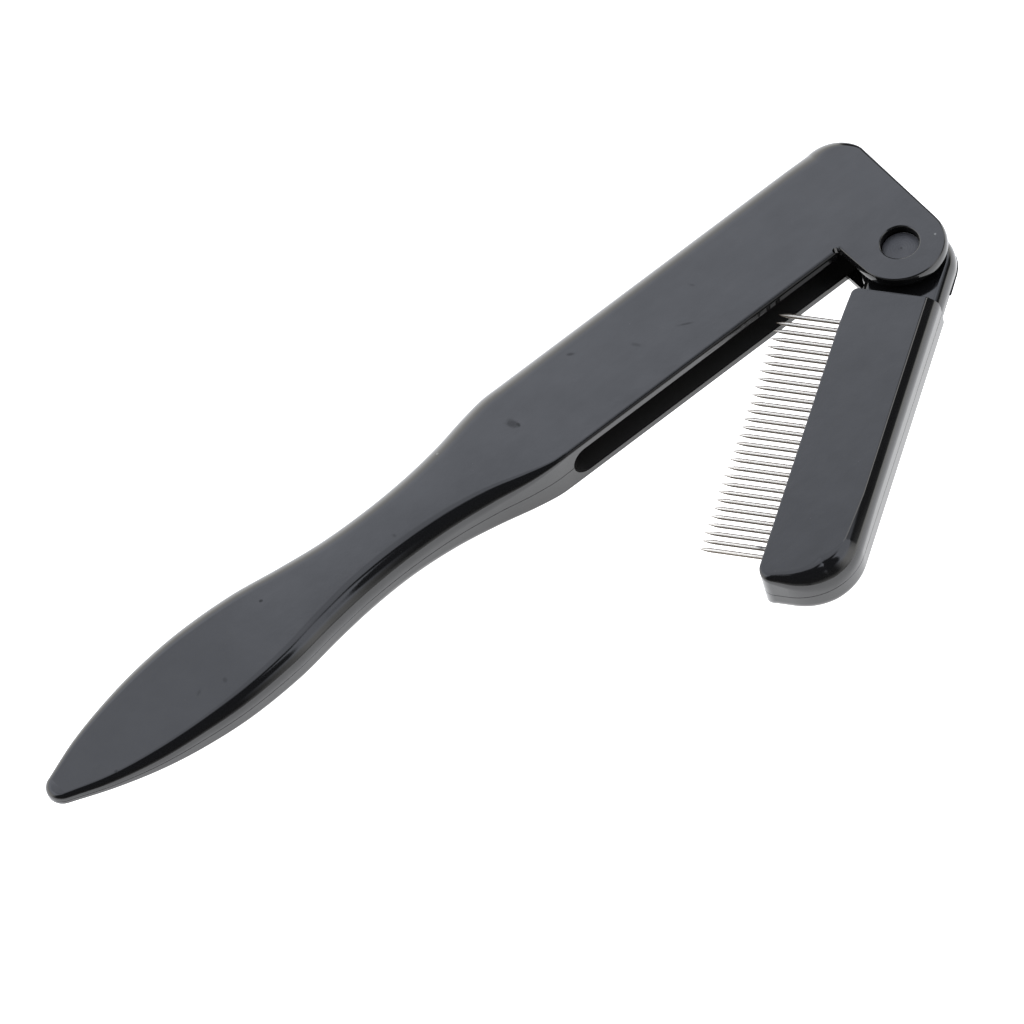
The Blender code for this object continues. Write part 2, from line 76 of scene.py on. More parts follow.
# Slot and pivot pocket
SLOT_FLOOR = 1.12 * MM
SLOT_ROOF = 5.44 * MM
SLOT_END_X = -49.75 * MM
SLOT_HEAD_X = -4.0 * MM
SLOT_BOTTOM_Y = 14.5 * MM
SLOT_MOUTH_Y = -12.0 * MM
POCKET_RADIUS = 10.2 * MM
POCKET_FLOOR = 1.06 * MM
POCKET_ROOF = 5.5 * MM
RELIEF_RADIUS = 0.42 * MM
RELIEF_X = -6.5 * MM
RELIEF_Y = 4.85 * MM
RELIEF_FLOOR = MID_PLANE
CUT_BELOW = -THICKNESS
CUT_ABOVE = 2 * THICKNESS

# Pivot
PIVOT_RADIUS = 2.42 * MM
PIVOT_TOP = 5.4 * MM
PIVOT_FOOT = 0.95 * MM
PIVOT_EDGE_ROUND = 0.08 * MM
PIVOT_DIMPLE_RADIUS = 0.3 * MM
PIVOT_DIMPLE_DEPTH = 0.1 * MM
PIVOT_GAP = 0.05 * MM
RECESS_EDGE_ROUND = 0.24 * MM
HUB_BORE_GAP = 0.1 * MM

# Comb arm, folded. The lip's stop is an arc's angle in degrees.
REST_ANGLE = radians(35.5)
REST_TURN = Matrix.Rotation(REST_ANGLE, 4, "Z")
BAR_HEAD_X = -7.65 * MM
BAR_END_X = -52.4 * MM
BAR_PIN_SIDE_Y = 4.3 * MM
BAR_HEAD_PIN_SIDE_Y = 4.05 * MM
BAR_PIN_SIDE_EASE_X = -16.0 * MM
BAR_OUTER_Y = -7.1 * MM
BAR_PIN_SIDE_ROUND = 0.15 * MM
BAR_HEAD_CORNER_RADIUS = 0.9 * MM
BAR_HEAD_EDGE_INSET = 0.12 * MM
BAR_OUTER_INSET = 1.35 * MM
BAR_OUTER_RISE = 1.95 * MM
BEVEL_TILT = radians(37)
BEVEL_START = (0.556, 0.23)
CREASE_WIDTH = 0.24 * MM
CREASE_SHARE = 0.4
CREASE_DEPTH = 0.055 * MM
BAR_OUTER_FOOT_ROUND = 1.6 * MM
BAR_INNER_CORNER_RADIUS = 1.9 * MM
BAR_INNER_CORNER_ROUND = 1.0 * MM
BAR_OUTER_CORNER_RADIUS = 7.6 * MM
BAR_OUTER_CORNER_ROUND = 1.6 * MM
BAR_OUTER_CORNER_INSET = 3.0 * MM
BAR_OUTER_CORNER_RISE = 3.2 * MM
BAR_BEVEL_FADE_X = -38.0 * MM
BAR_FADED_INSET = 1.8 * MM
BAR_FADED_RISE = 2.4 * MM
BAR_FADED_BEVEL = 0.6
BAR_END_FOOT_ROUND = 2.15 * MM
BAR_FOOT_CORNER_RADIUS = 1.5 * MM
TONGUE_FLOOR = 1.82 * MM
TONGUE_ROOF = 4.35 * MM
TONGUE_EDGE_INSET = 1.2 * MM
TONGUE_EDGE_RISE = 1.7 * MM
TONGUE_FOOT_ROUND = 0.2 * MM
TONGUE_PIN_SIDE_Y = 3.95 * MM
TONGUE_ROOT_X = -9.3 * MM
TONGUE_ROOT_Y = -6.95 * MM
HUB_RADIUS = 6.05 * MM
HUB_CENTRE = Vector((-0.9, -0.85)) * MM
HUB_LIP_RADIUS = 6.14 * MM
HUB_LIP_FLOOR = 1.85 * MM
HUB_LIP_ROOF = 1.97 * MM
HUB_LIP_END_X = -3.8 * MM
HUB_LIP_END_Y = -7.05 * MM
HUB_LIP_INNER_Y = -6.3 * MM
HUB_LIP_STOP_ANGLE = -58

# Pins of the comb
PIN_COUNT = 30
PIN_FIRST_X = -11.0 * MM
PIN_PITCH = 1.247 * MM
PIN_RADIUS = 0.3 * MM
PIN_TIP_FIRST_Y = 13.5 * MM
PIN_TIP_LAST_Y = 13.8 * MM
PIN_TIP_UNEVEN = 0.06 * MM
PIN_SEED = 7
PIN_SEAT_DEPTH = 1.7 * MM
PIN_TAPER = 1.9 * MM
SOCKET_GAP = 0.04 * MM
SOCKET_OVERSHOOT = 0.5 * MM

# Seam between the two moulded halves
SEAM_HALF_WIDTH = 0.045 * MM
SEAM_DEPTH = 0.06 * MM
SEAM_SHARE = 0.8

# How finely round shapes are divided, and how they are shaded
EDGE_STEPS = 12
TAIL_STEPS = 120
TIP_STEPS = 12
LOBE_STEPS = 72
CORNER_STEPS = 20
PIN_SIDE_STEPS = 16
SLOT_END_STEPS = 32
PIVOT_EDGE_STEPS = 6
PIVOT_SIDES = 96
POCKET_SIDES = 128
RELIEF_SIDES = 32
PIN_SIDES = 20
PIN_TAPER_STEPS = 8
SLOPE_SAMPLE = 0.1 * MM
FACE_WEIGHT = 100
SHARP_ANGLE = radians(28)
PIVOT_SHARP_ANGLE = radians(40)

# Sizes along the tail and neck in millimetres, from the round tip to the case
TAIL_COLUMNS = ("x", "middle_y", "half_width", "thickness", "top_round", "bottom_round")
TAIL_ROWS = (
    (-125.55, 12.37, 2.08, 1.75, 0.80, 0.50),
    (-120.0, 12.36, 4.40, 2.30, 1.10, 0.75),
    (-114.0, 12.34, 6.10, 3.15, 1.50, 0.85),
    (-108.0, 12.435, 7.135, 3.90, 1.72, 0.80),
    (-101.0, 12.46, 7.68, 4.60, 2.08, 1.05),
    (-93.0, 12.515, 7.305, 5.15, 2.30, 1.30),
    (-86.0, 12.50, 6.20, 5.50, 2.50, 1.60),
    (-80.0, 12.455, 5.465, 5.80, 2.67, 1.90),
    (-73.5, 12.47, 5.25, 6.05, 2.60, 2.10),
    (-67.0, 12.48, 5.56, 6.25, 2.40, 1.75),
    (-61.0, 12.455, 6.395, 6.45, 2.05, 1.22),
    (-56.0, 12.47, 7.49, 6.55, 1.38, 0.85),
    (-52.5, 12.54, 8.04, 6.60, 0.75, 0.50),
    (-50.0, 12.575, 8.075, 6.60, 0.50, 0.35),
)

# Camera: the photograph's direction, framing and distance. It looks along +Y, turned to
# the right by the azimuth and down by the elevation, and its top leans right by the roll.
CAMERA_AZIMUTH = radians(23.85)
CAMERA_ELEVATION = radians(53.0)
CAMERA_ROLL = radians(17.5)
CAMERA_AIM = Vector((-58.452, 7.162, 0)) * MM
CAMERA_DISTANCE = 1194.99 * MM
CAMERA_REACH = 20.0
SENSOR_WIDTH = 36.0
LENS = 337.5

# Light
FLOOR_SIZE = 8.0
FLOOR_DROP = 0.05 * MM
FLOOR_WHITE = (0.85, 0.85, 0.85)
FLOOR_ROUGHNESS = 0.9
FLOOR_GLOW = 1.6
WHITE = (1.0, 1.0, 1.0)
DARK_LEVEL = 0.08

# Panels of the studio: azimuth span, elevation span, softness of each, lean, brightness.
# A panel's sides lean over by the first number of degrees of azimuth for each degree of
# elevation. Its upper and lower edges fall by the second.
PANELS = {
    "ceiling": ((-110, 62), (-20, 81), 16, 8, (0, 0), 1.6),
    "backdrop": ((-100, 60), (-30, 53.4), 16, 3, (0, 0.18), 2.4),
    "backdrop_foot": ((-100, 60), (-20, 15), 16, 30, (0, 0), 3.1),
    "backdrop_corner": ((-40, -7.6), (52.5, 62), 2.4, 2, (0, 0), 1.85),
    "flank": ((12, 60), (46, 68), 8, 8, (0, 0), 2.0),
    "edge_shade": ((8, 45), (-25, 44), 4, 4, (0, 0), 0.08),
    "front_left": ((-175, -100), (-20, 10), 20, 22, (0, 0), 0.9),
    "front_right": ((118, 182), (-20, 8), 14, 20, (0, 0), 1.0),
    "side_foot": ((60, 122), (-20, 13), 20, 8, (0, 0), 2.6),
    "side_panel": ((108, 158), (40, 73), 6, 5, (0.66, 0), 1.9),
    "flank_low": ((62, 82), (38, 54), 8, 8, (0, 0), 0.95),
    "corner_fill": ((97, 134), (6, 44), 26, 10, (0, 0), 2.2),
}

# The light turns from warm to cool between these elevations in degrees
COOL_FROM = (25, 45)
COOL_LIGHT = (0.955, 1.0, 1.115)
WARM_LIGHT = (1.0, 0.995, 0.975)

# Shader noise: cells a millimetre, detail and roughness, and most of its values' span
CLOUD_NOISE = (0.16, 4.0, 0.6)
STREAK_NOISE = (1.0, 3.0, 0.5)
GRAIN_NOISE = (3.2, 3.0, 0.5)
RIPPLE_NOISE = (0.45, 2.0, 0.5)
DUST_NOISE = (2.2, 2.0, 0.5)
MARK_NOISE = (1.4, 3.0, 0.5)
FRONT_NOISE = (1.0, 4.0, 0.6)
PIVOT_NOISE = (0.9, 4.0, 0.5)
WIRE_NOISE = (1.0, 3.0, 0.5)
WIRE_SPOT_NOISE = (1.3, 3.0, 0.5)
NOISE_SPAN = (0.3, 0.7)
WIRE_SPOT_SPAN = (0.35, 0.65)

# The Mix node's inputs, for the share, the first and the second, and its output
MIX_SOCKETS = {"FLOAT": ((0, 2, 3), 0), "RGBA": ((0, 6, 7), 2)}

# Black plastic. Depths are heights of the relief.
PLASTIC = (0.005, 0.005, 0.0052)
PLASTIC_IOR = 1.5
DUST = (0.16, 0.16, 0.155)
DUST_LEVELS = (0.76, 0.8)
DUST_STRENGTH = 0.12
HANDLE_ROUGHNESS = 0.07
ARM_ROUGHNESS = 0.08
ROUGHNESS_SHARES = (0.7, 1.4)
SHINE = (0.5, 0.56)
STREAK_STRETCH = (0.12, 1.1, 0.6)
GRAIN_DEPTH = 0.0012 * MM
RIPPLE_DEPTH = 0.004 * MM

# Dull places on the handle: the slot's walls, the recess's wall and the face above the
# slot, whose shine fades along X. Places are in millimetres.
HOLLOW_PLASTIC = (0.022, 0.021, 0.02)
HOLLOW_ROUGHNESS = 0.5
HOLLOW_MARGIN = 0.1
DULL_SHINE = 0.12
RECESS_WALL = (2.53, 2.5)
RECESS_BOX = ((-3, 3), (-3, 3), (5.2, 6.42))
FRONT_BOX = ((-49.5, -6), (4.2, 4.7), (5.3, 6.35))
FRONT_FADE = (-12, -40)
FRONT_STRETCH = (0.7, 1.0, 5.0)
FRONT_RAGGEDNESS = 0.9
FRONT_EDGE = (0.72, 1.08)

# Marks on the plastic in millimetres: middle, half length, half width, turn, strength
MARK_HALF_HEIGHT = 1.2
MARK_RAGGEDNESS = 0.9
MARK_EDGE = (1.45, 0.75)
MARK_DULLNESS = 0.3
MARK_ROUGHNESS = 0.25
HANDLE_MARKS = (
    ((-52.16, 13.24, 6.6), 0.75, 1.25, 20, 0.62),
    ((-51.7, 12.6, 6.6), 0.3, 0.5, 0, 0.9),
    ((-40.2, 16.39, 6.6), 0.75, 0.3, -35, 0.6),
    ((-22.69, 13.75, 6.6), 0.3, 0.75, 25, 0.3),
    ((-27.1, 9.6, 6.6), 1.5, 0.22, -30, 0.5),
    ((-33.5, 11.6, 6.6), 0.9, 0.35, -62, 0.3),
    ((-90.93, 15.07, 5.9), 0.35, 0.3, 0, 0.9),
    ((-101.25, 9.02, 5.6), 0.4, 0.55, 0, 0.5),
    ((-104.63, 9.99, 5.5), 0.8, 0.3, 30, 0.45),
    ((-118.87, 8.68, 4.5), 0.35, 0.3, 0, 0.6),
    ((-73.08, 10.65, 6.4), 0.3, 0.4, 0, 0.5),
)
HANDLE_SPECKS = (
    ((-61.59, 16.62, 6.5), 0.3, 0.25, 0, 0.5),
    ((3.93, -2.26, 6.6), 0.22, 0.22, 0, 0.8),
    ((-27.01, 6.87, 1.46), 0.4, 0.25, 0, 0.5),
    ((-29.71, 6.54, 1.46), 0.35, 0.25, 0, 0.4),
)

# Matte pivot. The edge of the painted shade in the dimple is in millimetres, and the rings' rate in
# radians for each.
PIVOT_DARK = (0.034, 0.035, 0.039)
PIVOT_LIGHT = (0.046, 0.047, 0.052)
PIVOT_ROUGHNESS = (0.42, 0.58)
PIVOT_DIMPLE_SHADE_EDGE = (0.22, 0.08)
PIVOT_GRAIN_DEPTH = 0.01 * MM
RING_RATE = 18.0
RING_DEPTH = 0.003 * MM

# Steel wire. Painted shade on the underside sets in between two shares of facing up, and
# painted shade along the outline between two shares of facing away. The stain is written as the
# plastic's marks are.
STEEL_LIGHT = (0.93, 0.9, 0.83)
STEEL_WARM = (0.9, 0.85, 0.77)
STEEL_PAINTED_SHADE = (0.075, 0.055, 0.035)
STEEL_METALLIC = 0.25
STEEL_ROUGHNESS = (0.28, 0.42)
WIRE_STRETCH = (5.0, 0.5, 5.0)
WIRE_DEPTH = 0.0003 * MM
WIRE_UNDERSIDE_SHADE = (0.74, 0.58)
WIRE_OUTLINE_SHADE = (0.11, 0.27)
WIRE_OUTLINE_SHADE_SHARE = 0.92
WIRE_STAIN = ((-40.59, -21.71, 3.5), 0.7, 1.1, 35.5, 1.0)
STAIN = (0.006, 0.005, 0.005)


# Meshes and objects


def mesh_from_bmesh(name, bm):
    bmesh.ops.recalc_face_normals(bm, faces=bm.faces)
    mesh = bpy.data.meshes.new(name)
    bm.to_mesh(mesh)
    bm.free()
    return mesh


def evaluated_mesh(thing):
    graph = bpy.context.evaluated_depsgraph_get()
    return bpy.data.meshes.new_from_object(thing.evaluated_get(graph))


def solid_of(helper):
    """A helper object's evaluated shape as a welded mesh. The helper is removed."""
    mesh = evaluated_mesh(helper)
    mesh.name = helper.name
    bpy.data.objects.remove(helper, do_unlink=True)
    bm = bmesh.new()
    bm.from_mesh(mesh)
    bmesh.ops.remove_doubles(bm, verts=bm.verts, dist=WELD)
    bm.to_mesh(mesh)
    bm.free()
    return mesh


def new_object(name, data):
    thing = bpy.data.objects.new(name, data)
    bpy.context.scene.collection.objects.link(thing)
    return thing


def plate_mesh(name, outline, thickness):
    """A flat plate with the outline in its own XY plane, centred on that plane."""
    curve = bpy.data.curves.new(name, "CURVE")
    curve.dimensions = "2D"
    curve.fill_mode = "BOTH"
    curve.extrude = thickness / 2
    spline = curve.splines.new("POLY")
    spline.points.add(len(outline) - 1)
    for point, corner in zip(spline.points, outline):
        point.co = (corner.x, corner.y, 0, 1)
    spline.use_cyclic_u = True
    return solid_of(new_object(name, curve))


def turned_mesh(name, profile, sides):
    """A turned solid from a profile of (radius, height) that runs down its outer side."""
    mesh = bpy.data.meshes.new(name)
    corners = [(radius, 0, height) for radius, height in profile]
    mesh.from_pydata(corners, [(i, i + 1) for i in range(len(corners) - 1)], [])
    helper = new_object(name, mesh)
    turn = helper.modifiers.new("turn", "SCREW")
    turn.steps = sides
    turn.render_steps = sides
    turn.use_merge_vertices = True
    turn.merge_threshold = WELD
    return solid_of(helper)


def cylinder_mesh(name, radius, low, high, sides):
    bm = bmesh.new()
    bmesh.ops.create_cone(
        bm, cap_ends=True, segments=sides, radius1=radius, radius2=radius, depth=high - low
    )
    bmesh.ops.translate(bm, verts=bm.verts, vec=(0, 0, (low + high) / 2))
    return mesh_from_bmesh(name, bm)


def drill(name, radius, low, high, sides):
    """An upright cylinder to cut with."""
    return new_object(name, cylinder_mesh(name, radius, low, high, sides))


def combine(thing, changes):
    """Applies Boolean changes, given as (cutter, operation), and removes the cutters."""
    for cutter, operation in changes:
        modifier = thing.modifiers.new(cutter.name, "BOOLEAN")
        modifier.operation = operation
        modifier.solver = "EXACT"
        modifier.object = cutter
    mesh = evaluated_mesh(thing)
    mesh.name = thing.name
    thing.modifiers.clear()
    thing.data = mesh
    for cutter, _ in changes:
        bpy.data.objects.remove(cutter, do_unlink=True)


def smooth(thing, sharp_angle):
    """Smooth shading with crisp edges, where the large flat faces keep their direction."""
    thing.data.shade_smooth()
    thing.data.set_sharp_from_angle(angle=sharp_angle)
    weighted = thing.modifiers.new("weighted normals", "WEIGHTED_NORMAL")
    weighted.mode = "FACE_AREA"
    weighted.weight = FACE_WEIGHT
    weighted.keep_sharp = True


def finish_piece(thing, body, material, sharp_angle, node):
    """Shades a piece, ties it to its body and its finish, and hides the solid it stands for."""
    thing.data.materials.clear()
    thing.data.materials.append(material)
    smooth(thing, sharp_angle)
    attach(thing, body)
    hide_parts(node)


# Lofted plates: upright edge profiles that change along the outline


def rim_point(at, top_inset, bottom_inset, top_rise, bottom_rise, thickness=THICKNESS):
    """One place on a plate's outline. The insets lead from it to the flat faces' outlines.
    The rises are the heights of the rounded edges. The bevel is how far the upper edge is a
    slope with a crease in place of a round, and None where the whole plate has none."""
    return {
        "at": at,
        "top_inset": top_inset,
        "bottom_inset": bottom_inset,
        "top_rise": top_rise,
        "bottom_rise": bottom_rise,
        "thickness": thickness,
        "bevel": None,
    }


def edge_rim_point(at, inward, edge, thickness=THICKNESS):
    """A rim point with straight insets. The edge is the upper edge's inset and rise, and
    the lower edge's round."""
    top_inset, top_rise, bottom_round = edge
    insets = (inward * top_inset, inward * bottom_round)
    return rim_point(at, *insets, top_rise, bottom_round, thickness)


def edge_shares(step, bevel):
    """How far in and how far down from the top an upper edge is, as shares of its inset
    and rise. It is a quarter ellipse where the bevel is 0. Where it is 1, half of the steps
    make a tighter round, and the others a straight slope from BEVEL_START's shares."""
    angle = pi / 2 * step / EDGE_STEPS
    turned = min(2 * step / EDGE_STEPS, 1)
    sloped = max(2 * step / EDGE_STEPS - 1, 0)
    tilt = pi / 2 + (BEVEL_TILT - pi / 2) * turned
    start_in, start_down = BEVEL_START
    inward = start_in * (1 - sin(tilt)) / (1 - sin(BEVEL_TILT)) + (1 - start_in) * sloped
    down = 1 - (1 - start_down) * cos(tilt) / cos(BEVEL_TILT) - start_down * sloped
    round_in, round_down = 1 - cos(angle), 1 - sin(angle)
    return round_in + (inward - round_in) * bevel, round_down + (down - round_down) * bevel


def rim_column(bm, point):
    """The vertices of the plate's edge profile at one rim point, from the bottom up. The
    fine seam groove is at half height where the edge is upright there, and a bevel's crease
    is in the flat top beside it."""
    bottom = MID_PLANE - point["thickness"] / 2
    top = MID_PLANE + point["thickness"] / 2
    low_end = bottom + point["bottom_rise"]
    high_end = top - point["top_rise"]
    spots = []
    for step in range(EDGE_STEPS + 1):
        angle = pi / 2 * step / EDGE_STEPS
        spot = point["at"] + point["bottom_inset"] * (1 - sin(angle))
        spots.append((spot, bottom + point["bottom_rise"] * (1 - cos(angle))))
    upright = min(MID_PLANE - low_end, high_end - MID_PLANE)
    half = min(SEAM_HALF_WIDTH, SEAM_SHARE * upright)
    inward = point["top_inset"].normalized()
    if half > 0:
        for height, depth in ((-half, 0), (0, SEAM_DEPTH * half / SEAM_HALF_WIDTH), (half, 0)):
            spots.append((point["at"] + inward * depth, MID_PLANE + height))
    bevel = point["bevel"]
    for step in range(EDGE_STEPS + 1):
        inset, drop = edge_shares(step, bevel or 0)
        spots.append((point["at"] + point["top_inset"] * inset, top - point["top_rise"] * drop))
    if bevel is not None:
        rim = point["at"] + point["top_inset"]
        crease = rim + inward * CREASE_WIDTH * (1 - CREASE_SHARE)
        spots.append((crease, top - CREASE_DEPTH * bevel))
        spots.append((rim + inward * CREASE_WIDTH, top))
    return [bm.verts.new((spot.x, spot.y, height)) for spot, height in spots]


def skin_rim(bm, columns):
    """Faces from each column to the next, all the way round the plate."""
    for index, column in enumerate(columns):
        following = columns[(index + 1) % len(columns)]
        for low in range(len(column) - 1):
            bm.faces.new((column[low], following[low], following[low + 1]))
            bm.faces.new((column[low], following[low + 1], column[low + 1]))


def cap_strip(bm, near, far):
    """Top and bottom faces between two facing runs of columns that start at one column."""
    for level in (0, -1):
        bm.faces.new((near[0][level], near[1][level], far[1][level]))
        for index in range(1, len(near) - 1):
            bm.faces.new((near[index][level], near[index + 1][level], far[index + 1][level]))
            bm.faces.new((near[index][level], far[index + 1][level], far[index][level]))


def cap_flat(bm, columns):
    """One flat top face and one flat bottom face inside a run of columns."""
    for level in (0, -1):
        bm.faces.new([column[level] for column in columns])


def lofted_plate(name, points):
    """A plate with a rim through the points and one flat face above and below."""
    bm = bmesh.new()
    columns = [rim_column(bm, point) for point in points]
    skin_rim(bm, columns)
    cap_flat(bm, columns)
    return mesh_from_bmesh(name, bm)


def arc(centre, radius, start, end, steps):
    """Points on an arc with their outward directions. Angles are in degrees."""
    found = []
    for step in range(steps + 1):
        angle = radians(start + (end - start) * step / steps)
        outward = Vector((cos(angle), sin(angle)))
        found.append((centre + outward * radius, outward))
    return found


def rim_arc(centre, radius, start, end, first_edge, last_edge):
    """Rim points round a corner whose edge changes evenly."""
    found = []
    for index, (spot, outward) in enumerate(arc(centre, radius, start, end, CORNER_STEPS)):
        share = index / CORNER_STEPS
        edge = [first + (last - first) * share for first, last in zip(first_edge, last_edge)]
        found.append(edge_rim_point(spot, -outward, edge))
    return found


# Handle


def tail_at(x):
    """The tail's sizes at x, on a smooth curve through the table's rows."""
    rows = [Vector([size * MM for size in row]) for row in TAIL_ROWS]
    last = len(rows) - 1
    index = max(i for i in range(last) if i == 0 or rows[i][0] <= x)

    def slope(at):
        low, high = rows[max(at - 1, 0)], rows[min(at + 1, last)]
        return (high - low) / (high[0] - low[0])

    span = rows[index + 1][0] - rows[index][0]
    share = (x - rows[index][0]) / span
    value = rows[index] * (2 * share**3 - 3 * share**2 + 1)
    value += rows[index + 1] * (3 * share**2 - 2 * share**3)
    value += slope(index) * (span * (share**3 - 2 * share**2 + share))
    value += slope(index + 1) * (span * (share**3 - share**2))
    return dict(zip(TAIL_COLUMNS, value))


def tail_points(side):
    """Rim points from the tail's tip to the case. Side -1 is slotted, +1 is the back."""
    start_x = TAIL_ROWS[0][0] * MM
    tip = tail_at(start_x)
    tip_centre = Vector((TAIL_TIP_X + TAIL_TIP_RADIUS, tip["middle_y"]))
    tangent = 180 - side * (180 - degrees(acos((start_x - tip_centre.x) / TAIL_TIP_RADIUS)))
    found = []
    tip_edge = (tip["top_round"], tip["top_round"], tip["bottom_round"])
    for spot, outward in arc(tip_centre, TAIL_TIP_RADIUS, 180, tangent, TIP_STEPS)[:-1]:
        found.append(edge_rim_point(spot, -outward, tip_edge, tip["thickness"]))
    for step in range(TAIL_STEPS + 1):
        x = start_x + (CASE_START_X - start_x) * step / TAIL_STEPS
        row = tail_at(x)
        ahead, behind = tail_at(x + SLOPE_SAMPLE), tail_at(x - SLOPE_SAMPLE)
        steepness = (ahead["half_width"] - behind["half_width"]) / (2 * SLOPE_SAMPLE)
        inward = Vector((steepness, -side)).normalized()
        spot = Vector((x, row["middle_y"] + side * row["half_width"]))
        edge = (row["top_round"], row["top_round"], row["bottom_round"])
        if side > 0:
            edge = (BACK_ROUND * row["thickness"] / THICKNESS,) * 3
        found.append(edge_rim_point(spot, inward, edge, row["thickness"]))
    return found


def head_points():
    """Rim points from the notch beside the lobe, round the lobe and head, to the back."""
    notch = Vector((-LOBE_RADIUS, SLOT_SIDE_Y))
    top_inset = Vector((LOBE_TOP_INSET, CASE_EDGE_ROUND))
    foot_inset = Vector((LOBE_FOOT_ROUND, CASE_FOOT_ROUND))
    found = [rim_point(notch, top_inset, foot_inset, CASE_EDGE_ROUND, CASE_FOOT_ROUND)]
    for spot, outward in arc(Vector((0, 0)), LOBE_RADIUS, 180, 360, LOBE_STEPS):
        inset = LOBE_TOP_INSET + (LOBE_END_INSET - LOBE_TOP_INSET) * max(0, outward.x)
        found.append(edge_rim_point(spot, -outward, (inset, LOBE_TOP_RISE, LOBE_FOOT_ROUND)))
    corner = Vector((HEAD_END_X - HEAD_CORNER_RADIUS, BACK_Y - HEAD_CORNER_RADIUS))
    end_edge = (HEAD_EDGE_ROUND,) * 3
    corner_edge = (HEAD_CORNER_INSET, HEAD_CORNER_RISE, HEAD_CORNER_FOOT_ROUND)
    found += rim_arc(corner, HEAD_CORNER_RADIUS, 0, 90, end_edge, corner_edge)
    full_round = Vector((BACK_ROUND_START_X, BACK_Y))
    found.append(edge_rim_point(full_round, Vector((0, -1)), (BACK_ROUND,) * 3))
    return found


def handle_mesh():
    """The handle before it is cut. Its rim runs from the tail's tip along the slotted side,
    round the head and along the back to the tip again."""
    bm = bmesh.new()
    near = [rim_column(bm, point) for point in tail_points(-1)]
    far = near[:1] + [rim_column(bm, point) for point in tail_points(1)[1:]]
    head = [rim_column(bm, point) for point in head_points()]
    skin_rim(bm, near + head + far[:0:-1])
    cap_strip(bm, near, far)
    cap_flat(bm, near[-1:] + head + far[-1:])
    return mesh_from_bmesh("handle_shell", bm)


def slot_mesh():
    """The long slot's cutter: its outline is drawn in X and Z, and its depth runs in Y."""
    half_height = (SLOT_ROOF - SLOT_FLOOR) / 2
    end_centre = Vector((SLOT_END_X + half_height, SLOT_FLOOR + half_height))
    outline = [Vector((SLOT_HEAD_X, SLOT_ROOF))]
    outline += [spot for spot, _ in arc(end_centre, half_height, 90, 270, SLOT_END_STEPS)]
    outline.append(Vector((SLOT_HEAD_X, SLOT_FLOOR)))
    return plate_mesh("slot_cutter", outline, SLOT_BOTTOM_Y - SLOT_MOUTH_Y)


def pivot_bore_mesh():
    """The cutter of the pivot's bore, which flares to round the recess's upper edge."""
    radius = PIVOT_RADIUS + PIVOT_GAP
    flare = radius + RECESS_EDGE_ROUND
    profile = [(0, CUT_ABOVE), (flare, CUT_ABOVE)]
    for step in range(EDGE_STEPS + 1):
        angle = pi / 2 * (1 + step / EDGE_STEPS)
        height = THICKNESS + WELD - RECESS_EDGE_ROUND * (1 - sin(angle))
        profile.append((flare + RECESS_EDGE_ROUND * cos(angle), height))
    profile += [(radius, PIVOT_FOOT - PIVOT_GAP), (0, PIVOT_FOOT - PIVOT_GAP)]
    return turned_mesh("pivot_bore_cutter", profile, PIVOT_SIDES)


def build_handle(material):
    handle = new_object("handle_shell", handle_mesh())
    slot = new_object("slot_cutter", slot_mesh())
    slot.rotation_euler.x = radians(90)
    slot.location.y = (SLOT_BOTTOM_Y + SLOT_MOUTH_Y) / 2
    pocket = drill("pocket_cutter", POCKET_RADIUS, POCKET_FLOOR, POCKET_ROOF, POCKET_SIDES)
    bore = new_object("pivot_bore_cutter", pivot_bore_mesh())
    relief = drill("relief_cutter", RELIEF_RADIUS, RELIEF_FLOOR, CUT_ABOVE, RELIEF_SIDES)
    relief.location = (RELIEF_X, RELIEF_Y, 0)
    combine(handle, [(cutter, "DIFFERENCE") for cutter in (slot, pocket, bore, relief)])
    finish_piece(handle, "handle", material, SHARP_ANGLE, "handle")


def build_pivot_pin(material):
    """The pin at the pivot, with a small dimple in its top."""
    profile = [(0, PIVOT_TOP - PIVOT_DIMPLE_DEPTH), (PIVOT_DIMPLE_RADIUS, PIVOT_TOP)]
    round_centre = PIVOT_RADIUS - PIVOT_EDGE_ROUND
    for step in range(PIVOT_EDGE_STEPS + 1):
        angle = pi / 2 * step / PIVOT_EDGE_STEPS
        radius = round_centre + PIVOT_EDGE_ROUND * sin(angle)
        profile.append((radius, PIVOT_TOP - PIVOT_EDGE_ROUND * (1 - cos(angle))))
    profile += [(PIVOT_RADIUS, PIVOT_FOOT), (0, PIVOT_FOOT)]
    pin = new_object("pivot_disc", turned_mesh("pivot_disc", profile, PIVOT_SIDES))
    finish_piece(pin, "handle", material, PIVOT_SHARP_ANGLE, "pivot_pin")


# Comb arm


def bar_head_corner():
    """Rim points round the soft corner between the hinge end and the pin side, then along
    the pin side to where it runs straight."""
    corner = Vector((BAR_HEAD_X, BAR_HEAD_PIN_SIDE_Y))
    centre = corner - Vector((1, 1)) * BAR_HEAD_CORNER_RADIUS
    crisp = (BAR_HEAD_EDGE_INSET, BAR_PIN_SIDE_ROUND, BAR_PIN_SIDE_ROUND)
    pin_side = (BAR_PIN_SIDE_ROUND,) * 3
    found = rim_arc(centre, BAR_HEAD_CORNER_RADIUS, 0, 90, crisp, pin_side)
    for step in range(1, PIN_SIDE_STEPS + 1):
        share = step / PIN_SIDE_STEPS
        x = centre.x + (BAR_PIN_SIDE_EASE_X - centre.x) * share
        y = BAR_PIN_SIDE_Y - (BAR_PIN_SIDE_Y - BAR_HEAD_PIN_SIDE_Y) * (1 - share) ** 2
        found.append(edge_rim_point(Vector((x, y)), Vector((0, -1)), pin_side))
    return found


